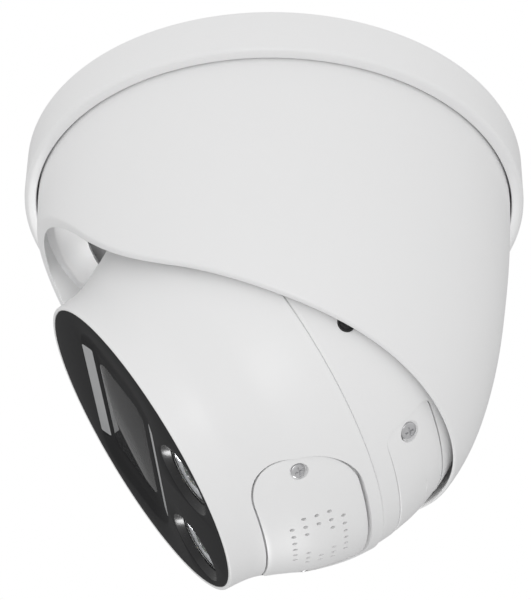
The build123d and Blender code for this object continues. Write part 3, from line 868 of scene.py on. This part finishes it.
def makeRearCasing():
    s = ballShape
    top = s["seam"] - s["seamGap"]
    rimRadius = math.sqrt(s["rear"] ** 2 - top * top)
    edge = [(rimRadius - 0.30, top), (rimRadius - 0.08, top - 0.08)]
    first = math.asin((top - 0.3) / s["rear"])
    last = math.asin((s["back"] + 0.5) / s["rear"])
    arc = [(s["rear"] * math.cos(a), s["rear"] * math.sin(a)) for a in np.linspace(first, last, 48)]
    inner = s["rear"] - s["rearWall"]
    floor = s["back"] + s["rearWall"]
    back = [
        (arc[-1][0] - 0.25, s["back"] + 0.12), (arc[-1][0] - 0.7, s["back"]), (s["hub"], s["back"]),
        (s["hub"], s["hubEnd"] + 0.3), (s["hub"] - 0.3, s["hubEnd"]), (s["glandBore"], s["hubEnd"]),
        (s["glandBore"], floor),
    ]
    turns = np.linspace(math.asin(floor / inner), math.asin(top / inner), 30)
    hollow = [(inner * math.cos(a), inner * math.sin(a)) for a in turns]
    casing = latheShell("rearCasing", edge + arc + back + hollow, 256)

    bed = roundedSlab("plateBed", s["plateLength"], s["plateWidth"], s["plateCorner"], 20, 60)
    pointDown(bed, s["plateMiddle"])
    putDown()
    bpy.ops.mesh.primitive_uv_sphere_add(segments=128, ring_count=96, radius=s["plateBed"] * mm)
    carve(casing, carve(bed, nameIt("plateCore")))
    for angle in s["screwAngles"]:
        pocket = rodShape("pocket", s["screwPocket"], -60, s["pocketTop"], 36)
        pocket.data.transform(onCircle(s["screwCircle"], angle))
        carve(casing, pocket)
    plugHole = rodShape("plugHole", s["plugHole"], 45.0, 55)
    plugHole.data.transform(radialPlace(s["plugAngle"], s["plugDepth"]))
    carve(casing, plugHole)
    smoothOff(casing)
    return standIn(casing, "ball", "rear_casing", "white_paint", ballPlace)


# rounded plate: its outline ringed inwards, laid on the skin and thickened inwards
def skinPlate(name, length, width, corner, middle, skin, thick, rings, edge=0.22):
    putDown()
    bpy.ops.mesh.primitive_plane_add(size=1)
    bpy.context.active_object.scale = (length * mm, width * mm, 1)
    plate = nameIt(name)
    editAll()
    bpy.ops.mesh.bevel(offset=corner * mm, segments=14, affect="VERTICES")
    bpy.ops.mesh.select_all(action="DESELECT")
    bpy.ops.object.mode_set(mode="OBJECT")
    # only the straight sides are divided, not the rounded corners
    corners = [vertex.co.copy() for vertex in plate.data.vertices]
    for item in plate.data.edges:
        ends = [corners[i] for i in item.vertices]
        item.select = (ends[0] - ends[1]).length > 1.9 * mm
    bpy.ops.object.mode_set(mode="EDIT")
    bpy.ops.mesh.select_mode(type="EDGE")
    bpy.ops.mesh.subdivide(number_cuts=22)
    bpy.ops.mesh.select_all(action="SELECT")
    bpy.ops.mesh.delete(type="ONLY_FACE")
    bpy.ops.mesh.select_all(action="SELECT")
    for ring in range(rings, 1, -1):
        bpy.ops.mesh.extrude_edges_move()
        bpy.ops.transform.resize(value=((ring - 1) / ring, (ring - 1) / ring, 1), center_override=(0, 0, 0))
    bpy.ops.mesh.edge_face_add()
    bpy.ops.object.mode_set(mode="OBJECT")
    for vertex in plate.data.vertices:
        u, s = vertex.co.x / mm, vertex.co.y / mm + middle
        vertex.co = (u * mm, skin(u, s) * mm, s * mm)
    editAll()
    bpy.ops.mesh.normals_make_consistent(inside=False)
    bpy.ops.object.mode_set(mode="OBJECT")
    if sum(face.normal.y * face.area for face in plate.data.polygons) > 0:
        editAll()
        bpy.ops.mesh.flip_normals()
        bpy.ops.object.mode_set(mode="OBJECT")
    applyModifier(plate, "SOLIDIFY", thickness=thick * mm, offset=-1)
    easeEdges(plate, edge, 3)
    return closeUp(plate)


# pan-head screw with a cross recess: underside of the head at nought, shaft down
def crossScrew(name, head, rise, shaft, length):
    screw = latheShell(name, rounded([
        (0.0, rise), (head * 0.55, rise, 0), (head, rise * 0.62, 0.25), (head, 0.0, 0.05), (shaft, 0.0),
        (shaft, -length, 0.2), (0.0, -length),
    ]), 40)
    for turn in (0, 90):
        arm = boxShape("driver", (head * 1.15, head * 0.24, rise * 0.9), (0, 0, rise))
        arm.data.transform(Matrix.Rotation(math.radians(turn), 4, "Z"))
        carve(screw, arm)
    return smoothOff(screw)


doorDetail = {
    "gap": (0.3, 0.45), "shift": 0.2, "holePitch": 2.93, "columnPitch": 2.75, "hole": 0.52,
    "columns": [(0, 3), (1, 4), (2, 4), (1, 4), (0, 3)],    # first and last hole each side of the middle
    "corner": 10.0, "arc": 45.0,        # the columns of holes are spaced along this radius
    "screwAngle": 30.5, "screwDepth": 17.0, "screwSeat": 43.0, "recess": 2.0,
    "screw": (1.7, 0.7, 0.93, 3.2),     # head radius, head height, shaft radius, length
}


def makeDoor():
    s, d = ballShape, doorDetail
    radius = doorRadius()

    def skin(u, depth):
        return -math.sqrt(radius(depth) ** 2 - u * u)

    door = skinPlate(
        "speakerDoor", s["doorLength"] - 2 * d["gap"][0], s["doorWidth"] - 2 * d["gap"][1], d["corner"],
        s["doorMiddle"] + d["shift"], skin, s["doorThick"], 9,
    )
    places = []
    for column, (first, last) in enumerate(d["columns"]):
        depth = s["doorMiddle"] + (2 - column) * d["columnPitch"]
        for k in range(first, last):
            angle = math.degrees((k + 0.5) * d["holePitch"] / d["arc"])
            places += [radialPlace(angle, depth), radialPlace(-angle, depth)]
    drills = spread("soundHoles", rodShape("soundHole", d["hole"], 30, 60, 20), places)
    carve(door, drills)
    seats = [radialPlace(side * d["screwAngle"], d["screwDepth"]) for side in (1, -1)]
    carve(door, spread("seats", rodShape("seat", d["recess"], d["screwSeat"], 60), seats))
    smoothOff(door, 38)
    standIn(door, "ball", "speaker_door", "white_paint", ballPlace)

    screw = crossScrew("doorScrew", *d["screw"])
    lifted = [seat @ Matrix.Translation((0, 0, d["screwSeat"] * mm)) for seat in seats]
    screws = spread("doorScrews", screw, lifted)
    standIn(screws, "ball", "door_screws", "steel", ballPlace)


plateDetail = {
    "deck": 42.4, "drop": 4.95, "gap": 0.15, "corner": 2.85, "thick": 1.2, "edge": 0.2,
    "screwAngle": 24.0, "screwDepth": -9.2, "seat": 45.0, "recess": 2.5,
    "screw": (2.0, 0.8, 0.93, 4.3),     # head radius, head height, shaft radius, length
}


def makeAccessPlate():
    s, d = ballShape, plateDetail

    def skin(u, depth):
        return -(d["drop"] + math.sqrt(d["deck"] ** 2 - u * u - depth * depth))

    plate = skinPlate(
        "accessPlate", s["plateLength"] - 2 * d["gap"], s["plateWidth"] - 2 * d["gap"], d["corner"],
        s["plateMiddle"], skin, d["thick"], 6, d["edge"],
    )
    seats = [radialPlace(side * d["screwAngle"], d["screwDepth"]) for side in (1, -1)]
    carve(plate, spread("seats", rodShape("seat", d["recess"], d["seat"], 60), seats))
    smoothOff(plate, 38)
    standIn(plate, "ball", "access_plate", "white_paint", ballPlace)
    screw = crossScrew("plateScrew", *d["screw"])
    lifted = [seat @ Matrix.Translation((0, 0, d["seat"] * mm)) for seat in seats]
    screws = spread("plateScrews", screw, lifted)
    standIn(screws, "ball", "access_plate_screws", "steel", ballPlace)


# radius, distance from the ball's middle and rounding of each corner
plugShape = {
    "outline": [
        (0, 46.98), (1.2, 46.98, 0.1), (1.5, 46.7, 0.1), (1.75, 47.0, 0.15), (2.05, 46.85, 0.1),
        (2.05, 45.0), (0, 45.0),
    ],
    "sides": 40,
}


def makePlug():
    s = ballShape
    plug = latheShell("sidePlug", rounded(plugShape["outline"]), plugShape["sides"])
    smoothOff(plug)
    place = ballPlace @ radialPlace(s["plugAngle"], s["plugDepth"])
    return standIn(plug, "ball", "side_plug", "rubber", place)


# millimetres across, up and along the lens
panelShape = {
    "radius": 36.4, "front": 36.6, "back": 34.0, "edge": 0.16, "play": 0.06,
    "window": (56.6, 30.2), "windowCorner": 9.0, "middle": 6.0, "depth": 0.95, "run": 3.2,
    "glass": (37.0, 18.6), "glassCorner": 4.0, "glassThick": 1.1, "paneEdge": 0.12,
    "view": (32.0, 15.0), "viewCorner": 3, "tray": (42.0, 25.0), "trayCorner": 5, "trayDrop": 1.0,
    "barHalf": 18.5, "barEdges": (14.9, 11.85), "barCorner": 0.6, "barEdge": 0.15,
    "lampX": 15.2, "lampY": -21.0, "mouth": 9.0, "lampLens": 7.5, "mouthDepth": 1.7,
}


def makePanel():
    s = panelShape
    front, back = s["front"], s["back"]
    floor = front - s["depth"]
    middle = (0, s["middle"])
    outline = rounded([(0, front), (s["radius"], front, 0.3), (s["radius"], back, 0.1), (0, back)])
    panel = latheShell("facePanel", outline, 192)
    tray = roundedSlab("tray", *s["tray"], s["trayCorner"], back - s["trayDrop"], back + 0.5, middle)
    carve(panel, tray, "UNION")
    dish = roundedSlab("dish", *s["window"], s["windowCorner"], front, floor, middle, 14, s["run"])
    lid = roundedSlab("lid", *s["window"], s["windowCorner"], front, front + 2, middle, 14)
    carve(panel, carve(dish, lid, "UNION"))
    width, height = (side + s["play"] for side in s["glass"])
    bed = roundedSlab("pocket", width, height, s["glassCorner"], floor - s["glassThick"], floor + 1, middle)
    carve(panel, bed)
    carve(panel, roundedSlab("view", *s["view"], s["viewCorner"], 20, 40, middle))
    outer, inner = s["barEdges"]
    width, height = 2 * s["barHalf"] + s["play"], outer - inner + s["play"]
    for side in (1, -1):
        y = s["middle"] + side * (outer + inner) / 2
        carve(panel, roundedSlab("slot", width, height, s["barCorner"], 20, 40, (0, y), 4))
    bore = s["lampLens"] + 0.1
    for x in (-s["lampX"], s["lampX"]):
        mouth = latheShell("mouth", [
            (0, front + 1), (s["mouth"] + 0.8, front + 1), (s["mouth"], front), (bore, front - s["mouthDepth"]),
            (bore, 20), (0, 20),
        ], 96)
        mouth.data.transform(Matrix.Translation((x * mm, s["lampY"] * mm, 0)))
        carve(panel, mouth)
    easeEdges(panel, s["edge"], angle=24)
    smoothOff(panel, 30)
    standIn(panel, "ball", "front_panel", "black_panel", ballPlace)

    glass = roundedSlab("windowPane", *s["glass"], s["glassCorner"], floor - s["glassThick"], floor, middle)
    easeEdges(glass, s["paneEdge"])
    smoothOff(glass)
    standIn(glass, "ball", "window_glass", "window_glass", ballPlace)


def makeLightBars():
    s = panelShape
    outer, inner = s["barEdges"]
    slope = math.atan2(s["depth"], s["run"])
    for side, name, node in ((1, "lightBarTop", "light_bar_top"), (-1, "lightBarBottom", "light_bar_bottom")):
        y = s["middle"] + side * (outer + inner) / 2
        bar = roundedSlab(
            name, 2 * s["barHalf"], outer - inner, s["barCorner"], s["back"] - 0.8, 40, (0, y), 4
        )
        # the front is planed to the recess's slope
        plane = boxShape("plane", (80, 40, 20), (0, 0, 10))
        lift = Matrix.Translation((0, y * mm, (s["front"] - s["depth"] / 2) * mm))
        plane.data.transform(lift @ Matrix.Rotation(side * slope, 4, "X"))
        carve(bar, plane)
        easeEdges(bar, s["barEdge"])
        smoothOff(bar)
        standIn(bar, "ball", node, "light_guide", ballPlace)


lampShape = {
    "boardFront": 31.0, "lensDrop": 2.0, "domeRadius": 6.6, "cupFoot": 3.9, "cupFlare": 3.0, "cupRadius": 7.4,
    "chip": 3.5, "chipCorner": 0.4, "chipHeight": 0.8, "chipEdge": 0.12,
}


def makeLamps():
    s, d = panelShape, lampShape
    top = s["front"] - d["lensDrop"]
    foot = d["boardFront"]
    places = [Matrix.Translation((x * mm, s["lampY"] * mm, 0)) for x in (-s["lampX"], s["lampX"])]
    dome = natural([(0, top + 0.5), (3.6, top + 0.36), (d["domeRadius"], top - 0.05)])
    crown = [(r, dome(r)) for r in np.linspace(0, d["domeRadius"], 14)]
    lens = latheShell("lampLens", crown + [
        (6.9, top + 0.12), (7.2, top + 0.16), (7.42, top + 0.02), (s["lampLens"], top - 0.3),
        (s["lampLens"], top - 1.2), (3.4, foot + 1.15), (2.2, foot + 1.0), (1.6, foot + 1.8), (0, foot + 2.1),
    ], 96)
    smoothOff(lens)
    lenses = spread("lampLenses", lens, places)
    standIn(lenses, "ball", "illuminator_lenses", "lens_glass", ballPlace)

    steps = np.linspace(0.95, 0, 12)
    narrow, wide, flare = d["cupFoot"], d["cupRadius"], d["cupFlare"]
    bowl = [(narrow + flare * t * t, foot + 0.6 + (top - foot - 2.4) * t) for t in steps]
    rim = [(wide, foot), (wide, top - 1.75), (narrow + flare, top - 1.75)]
    cup = latheShell("lampCup", rim + bowl + [(narrow, foot)], 96)
    smoothOff(cup)
    cups = spread("lampCups", cup, places)
    standIn(cups, "ball", "illuminator_cups", "reflector", ballPlace)

    chip = roundedSlab("lampLed", d["chip"], d["chip"], d["chipCorner"], foot, foot + d["chipHeight"], steps=4)
    easeEdges(chip, d["chipEdge"])
    smoothOff(chip)
    chips = spread("lampLeds", chip, places)
    standIn(chips, "ball", "illuminator_leds", "led_amber", ballPlace)


lensShape = {
    "barrel": 7.2, "collar": 8.2, "front": 31.6, "back": 17.5, "collarBack": 26.5, "bore": 5.2, "mouth": 6.9,
    "ribs": 4, "firstRib": 18.6, "ribPitch": 1.8, "ribDepth": 0.25, "stairs": 3,
}


def makeLens():
    s = lensShape
    place = ballPlace @ Matrix.Translation((0, panelShape["middle"] * mm, 0))
    ribs = []
    groove = s["barrel"] - s["ribDepth"]
    for k in range(s["ribs"]):
        z = s["firstRib"] + k * s["ribPitch"]
        ribs += [(s["barrel"], z), (groove, z + 0.3), (groove, z + 0.6), (s["barrel"], z + 0.9)]
    stair = []
    for k in range(s["stairs"]):
        z = s["front"] - 0.35 - 0.3 * k
        stair += [(s["mouth"] - 0.35 * k, z), (s["mouth"] - 0.35 * (k + 1), z)]
    barrel = latheShell("lensBarrel", [(s["bore"], s["back"]), (s["barrel"], s["back"])] + ribs + [
        (s["barrel"], s["collarBack"]), (s["collar"] - 0.2, s["collarBack"]),
        (s["collar"], s["collarBack"] + 0.2),
        (s["collar"], s["front"] - 0.25), (s["collar"] - 0.25, s["front"]), (s["mouth"] + 0.15, s["front"]),
        (s["mouth"], s["front"] - 0.15),
    ] + stair + [(s["bore"], s["front"] - 1.25)], 128)
    smoothOff(barrel)
    standIn(barrel, "ball", "lens_barrel", "black_metal", place)


makeBase()
makeCover()
print("base and cover made")
makeFrontCasing()
makeRearCasing()
print("ball casings made")
makeDoor()
makeAccessPlate()
makePlug()
print("door, plate and plug made")
makePanel()
makeLightBars()
makeLamps()
makeLens()
print("panel, lights and lens made")
